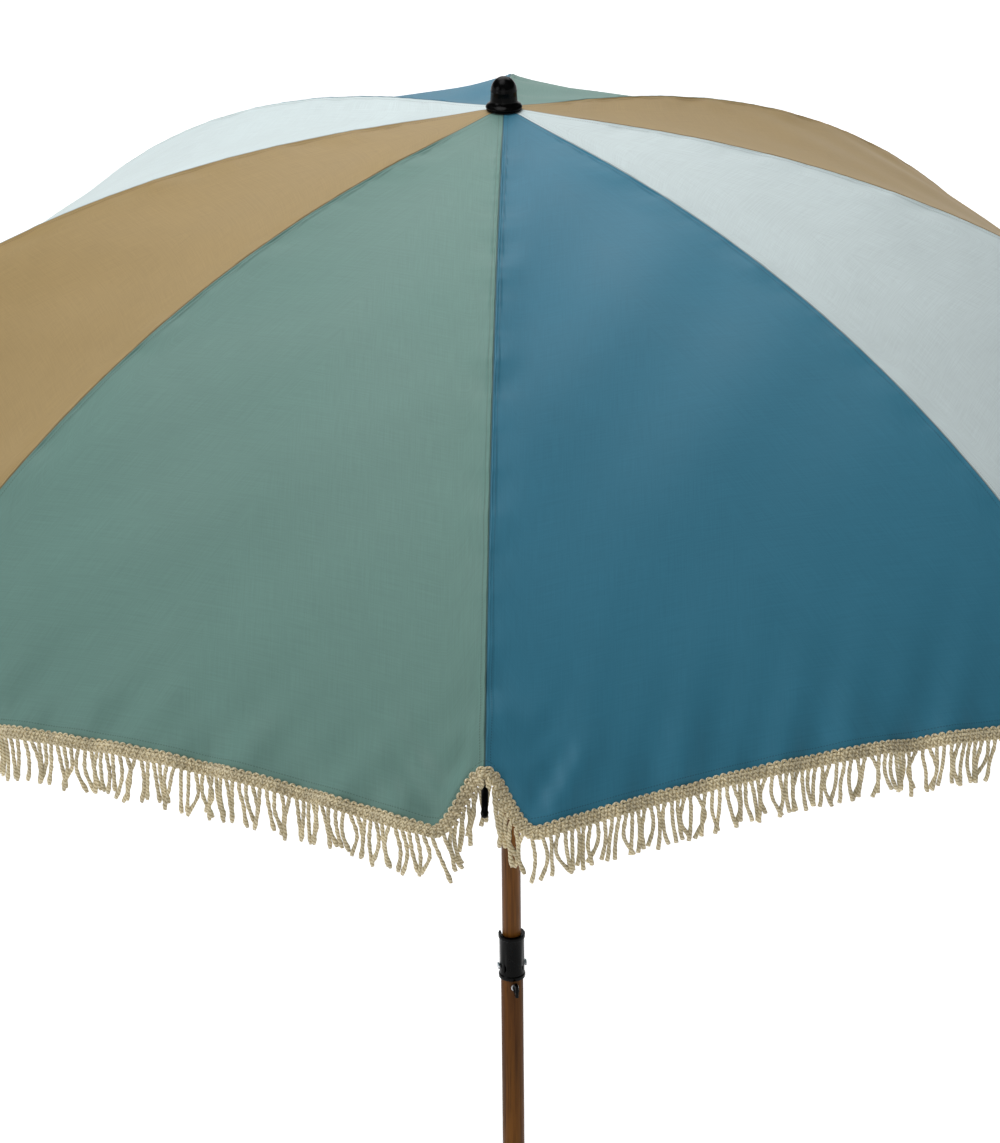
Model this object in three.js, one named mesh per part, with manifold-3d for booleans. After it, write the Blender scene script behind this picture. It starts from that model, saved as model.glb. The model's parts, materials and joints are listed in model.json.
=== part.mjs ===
// Beach umbrella: an eight-rib canopy with a fringed hem, on a two-part pole with a tilt joint.
// Millimetres, +Z up. The origin is the flat tip of the sand spike, and azimuth 0 looks along -Y.
import * as THREE from 'three';
import { mergeVertices } from 'three/addons/utils/BufferGeometryUtils.js';
import Module from 'manifold-3d';

const wasm = await Module();
wasm.setup();

// ---- driving dimensions ----
const ribCount = 8;
const crownHeight = 2330; // rib hinge circle above the spike's tip
const hingeRadius = 24; // rib hinges, and stretcher hinges on the runner, off the pole's axis
const clothLength = 1086; // along a rib, from its hinge to the hem
const crownSlope = 6.6; // degrees below level where a rib leaves the crown
const slopeGain = 38.3; // degrees more by the hem
const slopePower = 1.265;
const connectorAt = 456; // along a rib, from its hinge to the stretcher's connector
const ribRod = 2.5; // radius
const stretcherRod = 2.2; // radius
const eyeRadius = 4.2;
const eyeWidth = 3.2;
const tongueLength = 16; // flat end of a rod, between its eye and its round part
const wireRadius = 1;
const connectorPin = 1.2; // radius
const rodPastHem = 22; // the rod runs on into its tip
const overlap = 2; // two parts of one piece run this far into each other
const gap = 0.3; // running clearance everywhere

const clothThickness = 1;
const clothClear = 1.6; // from a rib's rod to the cloth
const hubRise = 5.4; // more above the hub, so that the cloth lies on top of it
const hubEdge = 6; // along a rib, where the cloth leaves the hub
const hubFade = 120; // and how far on it is down on the rod
const edgeClear = 0.4; // from a gore's edge to the plane of its rib
const hemSlope = 50; // degrees below level, past the rib tips
const hemCorner = 76; // hem past the ribs' ends, beside a rib
const hemMiddle = 57; // and half way between two ribs
const notchWidth = 58; // each side of a rib, where the hem arches up to the rib's end
const clothDip = 12; // cloth drawn in half way between two ribs
const fringeDrop = 72;
const fringeThickness = 4;

const upperPole = { radius: 13.5, wall: 1.5 };
const lowerPole = { radius: 16, wall: 1.5, bottom: 150, top: 1045 };
const innerTube = { radius: 14.2, wall: 1, length: 420 };
const housing = { radius: 18, rim: 19.25, rimHeight: 5, height: 70 };
const tiltAzimuth = 14.5; // degrees; the housing's whole front wall faces this way
const tiltPinHeight = lowerPole.top + 19;
const screwHeight = lowerPole.top - 10.5;

const hub = { radius: 28, top: 8.3, plate: 3.3, bottom: -9, neck: 17, neckBottom: -30 };
const runner = { flange: 28, sleeve: 17.5, up: 8, down: -9, bottom: -78, grip: 19.5 };
const slotWidth = eyeWidth + 2 * gap;

// ---- finishes ----
const black = { color: 0x17171a, roughness: 0.3, metalness: 0 };
const steel = { color: 0xb9bcc0, roughness: 0.35, metalness: 0.9 };
const rod = { color: 0x2a2b2e, roughness: 0.45, metalness: 0.4 };
const wood = { color: 0x5e3b1f, roughness: 0.55, metalness: 0 };
const cotton = { color: 0xd8cbb0, roughness: 0.95, metalness: 0 };
const cloths = [0x3f7c98, 0xd3dddc, 0xa98a62, 0x72938a].map((color) => ({
  color,
  roughness: 0.75,
  metalness: 0,
}));

const parasol = new THREE.Group();
const turn = THREE.MathUtils.degToRad;

// ---- helpers ----

/** A closed solid from a three.js geometry, for cutting and joining. */
function solid(geometry) {
  const bare = geometry.clone();
  bare.deleteAttribute('normal');
  bare.deleteAttribute('uv');
  const merged = mergeVertices(bare, 1e-4);
  return new wasm.Manifold(
    new wasm.Mesh({
      numProp: 3,
      vertProperties: new Float32Array(merged.attributes.position.array),
      triVerts: new Uint32Array(merged.index.array),
    }),
  );
}

/** The geometry of a cut or joined solid. */
function geometryOf(shape) {
  const mesh = shape.getMesh();
  const geometry = new THREE.BufferGeometry();
  geometry.setAttribute('position', new THREE.BufferAttribute(mesh.vertProperties, 3));
  geometry.setIndex(new THREE.BufferAttribute(mesh.triVerts, 1));
  geometry.computeVertexNormals();
  return geometry;
}

/** A turned shape about +Z; the profile is a list of [radius, height], bottom first. */
function turned(profile, sides = 20) {
  const points = profile.map(([radius, height]) => new THREE.Vector2(radius, height));
  return new THREE.LatheGeometry(points, sides).rotateX(Math.PI / 2);
}

function cylinder(radius, bottom, top, sides = 20) {
  return turned([[0, bottom], [radius, bottom], [radius, top], [0, top]], sides);
}

function pipe(radius, wall, bottom, top, sides = 20) {
  const bore = radius - wall;
  return turned([[bore, bottom], [radius, bottom], [radius, top], [bore, top], [bore, bottom]], sides);
}

/** A disc whose axis is Y, centred on the point (x, z). */
function disc(radius, width, x, z, sides = 10) {
  return cylinder(radius, -width / 2, width / 2, sides).rotateX(Math.PI / 2).translate(x, 0, z);
}

function box(x, y, z, centre) {
  return new THREE.BoxGeometry(x, y, z).translate(...centre);
}

/** A named mesh in the umbrella or in one of its groups. */
function add(name, geometry, finish, parent = parasol) {
  const mesh = new THREE.Mesh(geometry, new THREE.MeshStandardMaterial(finish));
  mesh.name = name;
  parent.add(mesh);
  return mesh;
}

/** A group whose +X points outwards at an azimuth, in degrees from -Y towards +X. */
function spoke(azimuth) {
  const group = new THREE.Group();
  group.rotation.z = turn(azimuth - 90);
  parasol.add(group);
  return group;
}

// ---- the rib's line, in its own upright plane: x outwards from the hinge, z up ----

function slopeAt(s) {
  const along = Math.max(s, 0) / clothLength;
  return turn(crownSlope + slopeGain * along ** slopePower);
}

class RibLine extends THREE.Curve {
  constructor(length) {
    super();
    this.length = length;
  }

  getPoint(t, target = new THREE.Vector3()) {
    const steps = 60;
    const step = (t * this.length) / steps;
    target.set(0, 0, 0);
    for (let i = 0; i < steps; i += 1) {
      const slope = slopeAt((i + 0.5) * step);
      target.x += step * Math.cos(slope);
      target.z -= step * Math.sin(slope);
    }
    return target;
  }
}

const ribPoint = (s) => new RibLine(s).getPoint(1);

// The connector's pin hangs just under the rib. The stretcher is as long as the pin is far from
// the hinge, so the stretcher turns back exactly twice as far as the rib folds, and the runner
// stays upright on the pole.
const pinDrop = 8;
const connector = ribPoint(connectorAt);
connector.x -= pinDrop * Math.sin(slopeAt(connectorAt));
connector.z -= pinDrop * Math.cos(slopeAt(connectorAt));
const stretcherLength = Math.hypot(connector.x, connector.z);
const openAngle = Math.atan2(-connector.z, connector.x);
const runnerHeight = crownHeight - 2 * stretcherLength * Math.sin(openAngle);

// ---- ribs, their tips and the stretchers ----

function roundSection(radius, sides) {
  const section = new THREE.Shape();
  for (let i = 0; i < sides; i += 1) {
    const angle = (2 * Math.PI * i) / sides;
    section[i ? 'lineTo' : 'moveTo'](radius * Math.cos(angle), radius * Math.sin(angle));
  }
  section.closePath();
  return section;
}

const rodLength = clothLength + rodPastHem;
const rodSteps = 16;
const rodInTip = 20;

function ribGeometry() {
  const line = new RibLine(rodLength);
  const bar = new THREE.ExtrudeGeometry(roundSection(ribRod, 6), {
    steps: rodSteps,
    bevelEnabled: false,
    extrudePath: line,
  });
  const wireHole = disc(wireRadius + gap, 2 * eyeWidth, 0, 0, 8);
  const trim = box(2 * (tongueLength - overlap), 4 * ribRod, 4 * ribRod, [0, 0, 0]);
  const tongueHeight = 4.4;
  const tongue = box(tongueLength, eyeWidth, tongueHeight, [tongueLength / 2, 0, 0]);
  tongue.rotateY(turn(crownSlope));
  const cheekWidth = 2;
  const cheekDrop = 4;
  const forkRise = eyeRadius + 2 * gap;
  const clampLength = 22;
  const clampWidth = slotWidth + 2 * cheekWidth;
  const clampMiddle = [0, 0, (pinDrop - cheekDrop) / 2];
  const block = box(clampLength, clampWidth, pinDrop + cheekDrop, clampMiddle);
  const forkDepth = 20;
  const fork = box(2 * clampLength, slotWidth, forkDepth, [0, 0, forkRise - forkDepth / 2]);
  const clamp = solid(block)
    .subtract(solid(fork))
    .add(solid(disc(connectorPin, slotWidth + cheekWidth, 0, 0, 8)));
  const seat = clamp
    .rotate([0, THREE.MathUtils.radToDeg(slopeAt(connectorAt)), 0])
    .translate([connector.x, 0, connector.z]);
  return geometryOf(
    solid(bar)
      .subtract(solid(trim))
      .add(solid(tongue))
      .add(solid(disc(eyeRadius, eyeWidth, 0, 0)))
      .subtract(solid(wireHole))
      .add(seat),
  );
}

function stretcherGeometry() {
  const barStart = tongueLength - overlap;
  const barEnd = stretcherLength - barStart;
  const bar = cylinder(stretcherRod, barStart, barEnd, 8).rotateY(-Math.PI / 2);
  const tongueHeight = 4;
  const tongue = (x) => solid(box(tongueLength, eyeWidth, tongueHeight, [x, 0, 0]));
  const pinHole = disc(connectorPin + gap, 2 * eyeWidth, 0, 0, 8);
  const wireHole = disc(wireRadius + gap, 2 * eyeWidth, -stretcherLength, 0, 8);
  return geometryOf(
    solid(bar)
      .add(tongue(-tongueLength / 2))
      .add(tongue(tongueLength / 2 - stretcherLength))
      .add(solid(disc(eyeRadius, eyeWidth, 0, 0)))
      .add(solid(disc(eyeRadius, eyeWidth, -stretcherLength, 0)))
      .subtract(solid(pinHole))
      .subtract(solid(wireHole)),
  );
}

function tipGeometry() {
  const bore = ribRod + gap;
  const profile = [
    [bore, 0],
    [4.2, 0],
    [4.8, 4],
    [4.2, 8],
    [3.8, 30],
    [4.6, 33],
    [3.6, 38],
    [0, 39.5],
    [0, rodPastHem],
    [bore, rodPastHem],
    [bore, 0],
  ];
  return turned(profile, 8);
}

const ribShape = ribGeometry();
const stretcherShape = stretcherGeometry();
const tipShape = tipGeometry();
const rodEnd = ribPoint(rodLength);
const rodAim = rodEnd.clone().sub(ribPoint(rodLength * (1 - 1 / rodSteps))).normalize();

for (let k = 0; k < ribCount; k += 1) {
  const group = spoke((360 / ribCount) * k);
  add(`rib_${k + 1}`, ribShape, rod, group).position.set(hingeRadius, 0, crownHeight);

  const tip = add(`rib_tip_${k + 1}`, tipShape, black, group);
  tip.position.set(hingeRadius, 0, crownHeight).add(rodEnd).addScaledVector(rodAim, -rodInTip);
  tip.rotation.y = Math.PI / 2 + Math.atan2(-rodAim.z, rodAim.x);

  const stretcher = add(`stretcher_${k + 1}`, stretcherShape, rod, group);
  stretcher.position.set(hingeRadius + connector.x, 0, crownHeight + connector.z);
  stretcher.rotation.y = -openAngle;
}

// ---- canopy: eight gores, each with its length of fringe ----

/** Height of the cloth's underside over the rib's centre line. */
function clothRise(s) {
  const overHub = Math.max(0, 1 - Math.max(s - hubEdge, 0) / hubFade) ** 2;
  return (ribRod + clothClear) / Math.cos(slopeAt(s)) + hubRise * overHub;
}

/** The cloth over a rib: r from the pole's axis, and height. Past the rib's end it runs on straight. */
function clothOverRib(s) {
  const onRib = Math.min(s, clothLength);
  const past = Math.max(s - clothLength, 0);
  const point = s > 0 ? ribPoint(onRib) : new THREE.Vector3(s, 0, 0);
  return {
    r: hingeRadius + point.x + past * Math.cos(turn(hemSlope)),
    z: crownHeight + point.z + clothRise(onRib) - past * Math.sin(turn(hemSlope)),
  };
}

const halfAngle = Math.PI / ribCount;

/** How far the hem runs past the ribs' ends, at a distance from the nearest rib. */
function hemPast(distance, halfWidth) {
  const rise = THREE.MathUtils.smoothstep(distance, 0, notchWidth);
  const inward = Math.max(0, (distance - notchWidth) / (halfWidth - notchWidth));
  return rise * THREE.MathUtils.lerp(hemCorner, hemMiddle, Math.sin((inward * Math.PI) / 2));
}

const hemHalfWidth = clothOverRib(clothLength).r * Math.sin(halfAngle);

/** Where the cloth ends, for across from -1 on one rib to 1 on the next. */
const hemEnd = (across) =>
  clothLength + hemPast(hemHalfWidth * (1 - Math.abs(across)), hemHalfWidth);

/** A point of a gore; +X is the gore's middle. The edges stay clear of the next gore. */
function gorePoint(s, across) {
  const { r, z } = clothOverRib(s);
  const half = r * Math.sin(halfAngle) - edgeClear;
  const bulge = Math.sin(Math.PI * THREE.MathUtils.clamp(s / clothLength, 0, 1));
  const drawnIn = clothDip * bulge * (1 - across * across);
  return new THREE.Vector3(r * Math.cos(halfAngle) - drawnIn * 0.4, half * across, z - drawnIn);
}

/** A closed solid between two grids of points, outer(i, j) over inner(i, j). */
function slab(rows, columns, outer, inner) {
  const points = [];
  const faces = [];
  const at = (layer, i, j) => layer * (rows + 1) * (columns + 1) + i * (columns + 1) + j;
  for (const face of [outer, inner]) {
    for (let i = 0; i <= rows; i += 1) {
      for (let j = 0; j <= columns; j += 1) points.push(...face(i, j).toArray());
    }
  }
  const quad = (a, b, c, d) => faces.push(a, b, c, a, c, d);
  for (let i = 0; i < rows; i += 1) {
    for (let j = 0; j < columns; j += 1) {
      quad(at(0, i, j), at(0, i + 1, j), at(0, i + 1, j + 1), at(0, i, j + 1));
      quad(at(1, i, j), at(1, i, j + 1), at(1, i + 1, j + 1), at(1, i + 1, j));
    }
    quad(at(0, i, 0), at(1, i, 0), at(1, i + 1, 0), at(0, i + 1, 0));
    quad(at(0, i, columns), at(0, i + 1, columns), at(1, i + 1, columns), at(1, i, columns));
  }
  for (let j = 0; j < columns; j += 1) {
    quad(at(0, 0, j), at(0, 0, j + 1), at(1, 0, j + 1), at(1, 0, j));
    quad(at(0, rows, j), at(1, rows, j), at(1, rows, j + 1), at(0, rows, j + 1));
  }
  const geometry = new THREE.BufferGeometry();
  geometry.setAttribute('position', new THREE.Float32BufferAttribute(points, 3));
  geometry.setIndex(faces);
  geometry.computeVertexNormals();
  return geometry;
}

const goreColumns = 10;
const acrossAt = (j) => Math.sin(Math.PI * (j / goreColumns - 0.5));

function goreGeometry() {
  const rows = 12;
  const innerEnd = -8; // inwards of the rib hinges, under the washer
  const along = (i, across) =>
    i === 0 ? innerEnd : hubEdge + ((hemEnd(across) - hubEdge) * (i - 1)) / (rows - 1);
  const under = (i, j) => gorePoint(along(i, acrossAt(j)), acrossAt(j));
  const over = (i, j) => under(i, j).add(new THREE.Vector3(0, 0, clothThickness));
  return slab(rows, goreColumns, over, under);
}

/** Its top follows the hem. It stops short of the ribs, so that their tips pass between two lengths. */
function fringeGeometry() {
  const ribClear = 9;
  const hem = (j) => gorePoint(hemEnd(acrossAt(j)), acrossAt(j));
  const first = ribClear / hem(0).distanceTo(hem(1));
  const top = (j) => {
    if (j === 0) return hem(0).lerp(hem(1), first);
    return j === goreColumns ? hem(j).lerp(hem(j - 1), first) : hem(j);
  };
  const point = (i, j, outwards) =>
    top(j).add(new THREE.Vector3(outwards, 0, -1 - fringeDrop * i));
  return slab(1, goreColumns, (i, j) => point(i, j, fringeThickness), (i, j) => point(i, j, 0));
}

const goreShape = goreGeometry();
const fringeShape = fringeGeometry();

for (let k = 0; k < ribCount; k += 1) {
  const group = spoke((360 / ribCount) * (k + 0.5));
  add(`canopy_panel_${k + 1}`, goreShape, cloths[k % cloths.length], group);
  add(`fringe_${k + 1}`, fringeShape, cotton, group);
}

// ---- crown: hub, hinge wire, washer and finial ----

/** Cuts the hinge slots and the wire's groove out of a notched disc, both at the height 0. */
function notched(body, slotLow, slotHigh) {
  const inner = hingeRadius - eyeRadius - 1;
  const slotLength = 20;
  const height = slotHigh - slotLow;
  let shape = solid(body);
  for (let k = 0; k < ribCount; k += 1) {
    const middle = [inner + slotLength / 2, 0, (slotLow + slotHigh) / 2];
    const slot = box(slotLength, slotWidth, height, middle);
    shape = shape.subtract(solid(slot.rotateZ(turn((360 / ribCount) * k - 90))));
  }
  const groove = new THREE.TorusGeometry(hingeRadius, wireRadius + gap, 5, 24);
  return shape.subtract(solid(groove));
}

const poleBore = upperPole.radius + gap;
const hubBody = turned([
  [poleBore, hub.neckBottom],
  [hub.neck, hub.neckBottom],
  [hub.neck, hub.bottom],
  [hub.radius, hub.bottom],
  [hub.radius, hub.top - 1],
  [hub.radius - 1, hub.top],
  [poleBore, hub.top],
  [poleBore, hub.neckBottom],
]);
const hubShape = notched(hubBody, hub.bottom - 1, hub.top - hub.plate);
add('crown_hub', geometryOf(hubShape), black).position.z = crownHeight;

const hingeWire = new THREE.TorusGeometry(hingeRadius, wireRadius, 5, 24);
add('crown_hinge_wire', hingeWire, steel).position.z = crownHeight;

const washer = { radius: 23, width: 11.4, bottom: 11.2, top: 12.6 };
const washerRing = pipe(washer.radius, washer.width, washer.bottom, washer.top);
add('crown_washer', washerRing, black).position.z = crownHeight;

const finialBottom = washer.top + gap;
const spigotLength = 32;
const finialProfile = [
  [0, -spigotLength],
  [11, -spigotLength],
  [11, 0],
  [23.5, 0],
  [23.8, 2.2],
  [22.5, 4],
  [18.6, 7.5],
  [17.4, 11],
  [17, 24],
  [16.2, 30],
  [14, 35],
  [10.4, 38.6],
  [5.4, 40.7],
  [0, 41.3],
];
add('finial', turned(finialProfile), black).position.z = crownHeight + finialBottom;

// ---- runner, with its hinge wire and its catch lever ----

const leverAzimuth = 22.5;
const leverHeight = -50;
const leverPin = { radius: 1.2, length: 19, out: 22 };
const noseHeight = leverHeight + 12;
const noseHole = box(8, 8, 9, [16, 0, noseHeight]);
const ear = (side) => box(8, 3, 8, [runner.sleeve + 2.5, side * 7.2, leverHeight]);
const leverPinHole = disc(leverPin.radius + gap, 30, leverPin.out, leverHeight, 8);
const runnerBody = turned([
  [poleBore, runner.bottom],
  [runner.grip, runner.bottom],
  [runner.grip, runner.bottom + 5],
  [runner.sleeve, runner.bottom + 8],
  [runner.sleeve, runner.down - 6],
  [runner.flange, runner.down],
  [runner.flange, runner.up - 4],
  [runner.sleeve, runner.up - 4],
  [runner.sleeve, runner.up],
  [poleBore, runner.up],
  [poleBore, runner.bottom],
]);
const atLever = (geometry) => solid(geometry).rotate([0, 0, leverAzimuth - 90]);
const runnerShape = notched(runnerBody, runner.down - 2, runner.up + 1)
  .subtract(atLever(noseHole))
  .add(atLever(ear(1)))
  .add(atLever(ear(-1)))
  .subtract(atLever(leverPinHole));
add('runner', geometryOf(runnerShape), black).position.z = runnerHeight;
add('runner_hinge_wire', hingeWire.clone(), steel).position.z = runnerHeight;

const leverGroup = spoke(leverAzimuth);
const leverWidth = 10.6;
const plate = box(3, leverWidth, 34, [leverPin.out, 0, leverHeight]);
const nose = box(8.4, 6.6, 6, [upperPole.radius + gap + 4.4, 0, noseHeight]);
const leverShape = solid(plate)
  .add(solid(nose))
  .add(solid(disc(3, leverWidth, leverPin.out, leverHeight)))
  .subtract(solid(leverPinHole));
add('runner_lever', geometryOf(leverShape), black, leverGroup).position.z = runnerHeight;
const leverPinRod = disc(leverPin.radius, leverPin.length, leverPin.out, leverHeight, 8);
add('lever_pin', leverPinRod, steel, leverGroup).position.z = runnerHeight;

// ---- tilt joint: housing, pin and the knuckle on the upper pole's end ----

const tiltGroup = spoke(tiltAzimuth);
const cavity = upperPole.radius + gap;
const bottom = lowerPole.top + gap;
const top = bottom + housing.height;
const rimSlope = 1.5;
const housingSpigot = { radius: innerTube.radius - innerTube.wall - gap, length: 30 };
const shellBody = turned([
  [0, bottom - housingSpigot.length],
  [housingSpigot.radius, bottom - housingSpigot.length],
  [housingSpigot.radius, bottom],
  [housing.rim, bottom],
  [housing.rim, bottom + housing.rimHeight],
  [housing.radius, bottom + housing.rimHeight + rimSlope],
  [housing.radius, top - housing.rimHeight - rimSlope],
  [housing.rim, top - housing.rimHeight],
  [housing.rim, top],
  [0, top],
]);
const slotDepth = 2 * housing.rim;
const backSlot = (low, high) =>
  box(slotDepth, 2 * cavity, high - low, [-slotDepth / 2, 0, (low + high) / 2]);
const pinRadius = 3;
const housingShape = solid(shellBody)
  .subtract(solid(cylinder(cavity, tiltPinHeight, top + 1)))
  .subtract(solid(disc(cavity, 2 * cavity, 0, tiltPinHeight, 20)))
  .subtract(solid(backSlot(tiltPinHeight, top + 1)))
  .subtract(solid(backSlot(tiltPinHeight - cavity, tiltPinHeight)))
  .subtract(solid(disc(pinRadius + gap, 60, 0, tiltPinHeight)));
add('tilt_housing', geometryOf(housingShape), black, tiltGroup);

const pinHead = { radius: 5, width: 2, out: housing.rim + 0.6 };
const headAt = (y) =>
  solid(disc(pinHead.radius, pinHead.width, 0, tiltPinHeight).translate(0, y, 0));
const pinShape = solid(disc(pinRadius, 2 * housing.radius + 2, 0, tiltPinHeight))
  .add(headAt(pinHead.out))
  .add(headAt(-pinHead.out));
add('tilt_pin', geometryOf(pinShape), steel, tiltGroup);

const knuckleTop = 16;
const poleBottom = tiltPinHeight + knuckleTop;
const knuckleSpigot = { radius: upperPole.radius - upperPole.wall - gap, length: 45 };
const roundEnd = solid(disc(upperPole.radius, 2 * upperPole.radius, 0, tiltPinHeight, 20));
const knuckleBar = (low) => solid(cylinder(upperPole.radius, low, poleBottom - gap));
const spigotBar = cylinder(knuckleSpigot.radius, tiltPinHeight, poleBottom + knuckleSpigot.length);
const knuckleShape = knuckleBar(tiltPinHeight)
  .add(roundEnd.intersect(knuckleBar(tiltPinHeight - 20)))
  .add(solid(spigotBar))
  .subtract(solid(disc(pinRadius + gap, 60, 0, tiltPinHeight)));
add('tilt_knuckle', geometryOf(knuckleShape), black, tiltGroup);

// ---- poles, sand spike and height screw ----

const poleTop = crownHeight + hub.top - 1;
add('upper_pole', pipe(upperPole.radius, upperPole.wall, poleBottom, poleTop), wood);

const tubeTop = bottom - gap;
add('inner_tube', pipe(innerTube.radius, innerTube.wall, tubeTop - innerTube.length, tubeTop), steel);

const screwGroup = spoke(tiltAzimuth);
const screwRadius = 3;
const outwards = (geometry) => geometry.rotateY(Math.PI / 2).translate(0, 0, screwHeight);
const screwHole = outwards(cylinder(screwRadius + gap, 0, 30, 12)).rotateZ(turn(tiltAzimuth - 90));
const lowerTube = pipe(lowerPole.radius, lowerPole.wall, lowerPole.bottom, tubeTop);
add('lower_pole', geometryOf(solid(lowerTube).subtract(solid(screwHole))), wood);

const bushing = pipe(5.6, 5.6 - screwRadius - gap, lowerPole.radius + 0.2, lowerPole.radius + 2.6, 16);
add('screw_bushing', outwards(bushing), steel, screwGroup);

const screwEnd = innerTube.radius + gap;
const collarStart = lowerPole.radius + 3;
const wing = box(10, 4.6, 19, [collarStart + 7.5, 0, screwHeight]);
const screwShape = solid(outwards(cylinder(screwRadius, screwEnd, collarStart + 1, 12)))
  .add(solid(outwards(cylinder(4.3, collarStart, collarStart + 9, 16))))
  .add(solid(wing));
add('height_screw', geometryOf(screwShape), black, screwGroup);

const spikeTop = lowerPole.bottom - gap;
const spikeSpigot = { radius: lowerPole.radius - lowerPole.wall - gap, top: lowerPole.bottom + 45 };
const spikeProfile = [
  [0, 0],
  [5, 0],
  [7, 6],
  [lowerPole.radius, lowerPole.bottom - 12],
  [lowerPole.radius, spikeTop],
  [spikeSpigot.radius, spikeTop],
  [spikeSpigot.radius, spikeSpigot.top],
  [0, spikeSpigot.top],
];
add('sand_spike', turned(spikeProfile), black);

export default parasol;
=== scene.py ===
# %% [markdown]
# # A beach umbrella with a fringed hem
# This lesson dresses a packed, jointed model of a beach umbrella. The frame holds every rib, hinge and
# tube at its real place in metres, and nothing here moves them. What is made here is the cloth, the cotton
# fringe, the turned and moulded fittings at full smoothness, and a node material for each.

# %% Load the frame
import json
import math

import bpy
import numpy as np
from mathutils import Matrix, Vector


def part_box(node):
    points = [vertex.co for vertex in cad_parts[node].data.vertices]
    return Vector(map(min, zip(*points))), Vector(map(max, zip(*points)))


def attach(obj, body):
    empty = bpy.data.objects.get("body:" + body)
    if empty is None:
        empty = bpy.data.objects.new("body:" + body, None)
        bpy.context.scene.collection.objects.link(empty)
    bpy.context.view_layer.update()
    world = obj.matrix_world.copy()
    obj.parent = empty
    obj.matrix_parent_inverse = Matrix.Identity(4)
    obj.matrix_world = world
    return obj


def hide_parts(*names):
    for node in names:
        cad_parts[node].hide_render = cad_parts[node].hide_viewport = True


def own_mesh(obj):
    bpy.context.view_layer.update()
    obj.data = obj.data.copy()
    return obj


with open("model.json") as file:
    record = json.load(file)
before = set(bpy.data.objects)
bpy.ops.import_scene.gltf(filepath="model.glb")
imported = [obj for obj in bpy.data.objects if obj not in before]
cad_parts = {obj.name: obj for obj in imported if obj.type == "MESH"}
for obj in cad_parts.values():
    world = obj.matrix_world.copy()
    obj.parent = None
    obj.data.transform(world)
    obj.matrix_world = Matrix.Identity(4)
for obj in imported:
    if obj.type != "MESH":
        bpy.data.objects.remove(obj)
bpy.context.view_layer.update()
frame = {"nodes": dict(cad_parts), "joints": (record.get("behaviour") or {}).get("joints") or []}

MM = 0.001
RIBS = 8
joints = {joint["name"]: joint for joint in frame["joints"]}
CROWN = joints["rib_1_fold"]["pos_m"][2]
HINGE_RADIUS = -joints["rib_1_fold"]["pos_m"][1]
print(f"crown at {CROWN:.3f} m, rib hinges {HINGE_RADIUS / MM:.0f} mm off the pole's axis")

# %% [markdown]
# ## Camera
# The umbrella is seen from a little above, over the front rib, from far enough away that the canopy
# hardly foreshortens. A long lens keeps the front hem and the crown in one frame. The camera is made
# first, so that everything later can be judged in its view.

# %% Make the camera
CAMERA_FROM_CROWN = Vector((0.120, -4.398, 1.426))   # metres, from the crown's hinge circle
CAMERA_TILT = 64.8          # degrees up from looking straight down
CAMERA_ROLL = -0.6
CAMERA_TURN = 1.71
LENS_MM = 112.6


def turned_matrix(degrees, axis):
    """A turn about one axis, as a 3 by 3 matrix."""
    return Matrix.Rotation(math.radians(degrees), 3, axis)


bpy.ops.object.camera_add(location=Vector((0, 0, CROWN)) + CAMERA_FROM_CROWN)
camera = bpy.context.object
camera.name = "camera"
camera.data.lens = LENS_MM
camera.data.sensor_width = 36
camera.data.clip_end = 60
aim = turned_matrix(CAMERA_TURN, "Z") @ turned_matrix(CAMERA_TILT, "X") @ turned_matrix(CAMERA_ROLL, "Z")
camera.rotation_euler = aim.to_euler()
bpy.context.scene.camera = camera
print("camera at", [round(value, 3) for value in camera.location])

# %% [markdown]
# ## Floor and studio light
# The object stands over a plain white floor that glows a little, like a lit studio sweep, so that light
# also comes up under the canopy and into the fringe. The world is as white at its horizon and fades
# upwards. Soft panels hang high over the crown, behind it, to the left and in front, and one more washes
# the floor at the back. The cloth darkens from the crown towards the front hem as it turns away from the
# high panels, and its left side stays a little lighter than its right.

# %% Make the floor, the world and the lights
bpy.ops.object.select_all(action="DESELECT")
bpy.ops.mesh.primitive_plane_add(size=60, location=(0, 0, -2 * MM))
floor = bpy.context.object
floor.name = "floor"
floor_paint = bpy.data.materials.new("white_studio_floor")
floor_paint.use_nodes = True
floor_shader = floor_paint.node_tree.nodes["Principled BSDF"]
floor_shader.inputs["Base Color"].default_value = (0.8, 0.8, 0.8, 1)
floor_shader.inputs["Roughness"].default_value = 0.7
floor_shader.inputs["Emission Color"].default_value = (1, 1, 1, 1)
floor_shader.inputs["Emission Strength"].default_value = 0.62
floor.data.materials.append(floor_paint)


def soft_light(name, size, power, place, target):
    """A round area light that faces a point; size in metres, power in watts."""
    bpy.ops.object.light_add(type="AREA", location=place)
    light = bpy.context.object
    light.name = name
    light.data.shape = "DISK"
    light.data.size = size
    light.data.energy = power
    light.rotation_euler = (Vector(target) - Vector(place)).to_track_quat("-Z", "Y").to_euler()


CANOPY_MIDDLE = (0, 0, CROWN - 0.2)
soft_light("back_panel", 3.2, 45, (-0.9, 1.6, CROWN + 4.2), CANOPY_MIDDLE)
soft_light("top_panel", 3.0, 74, (-0.9, -0.6, CROWN + 4.0), CANOPY_MIDDLE)
soft_light("front_panel", 4.0, 34, (-0.6, -6.5, CROWN + 1.0), CANOPY_MIDDLE)
soft_light("left_panel", 3.0, 57, (-5.0, -3.0, CROWN + 1.5), CANOPY_MIDDLE)
soft_light("floor_wash", 9.0, 460, (0, 7.0, 7.5), (0, 5.5, 0))

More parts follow.
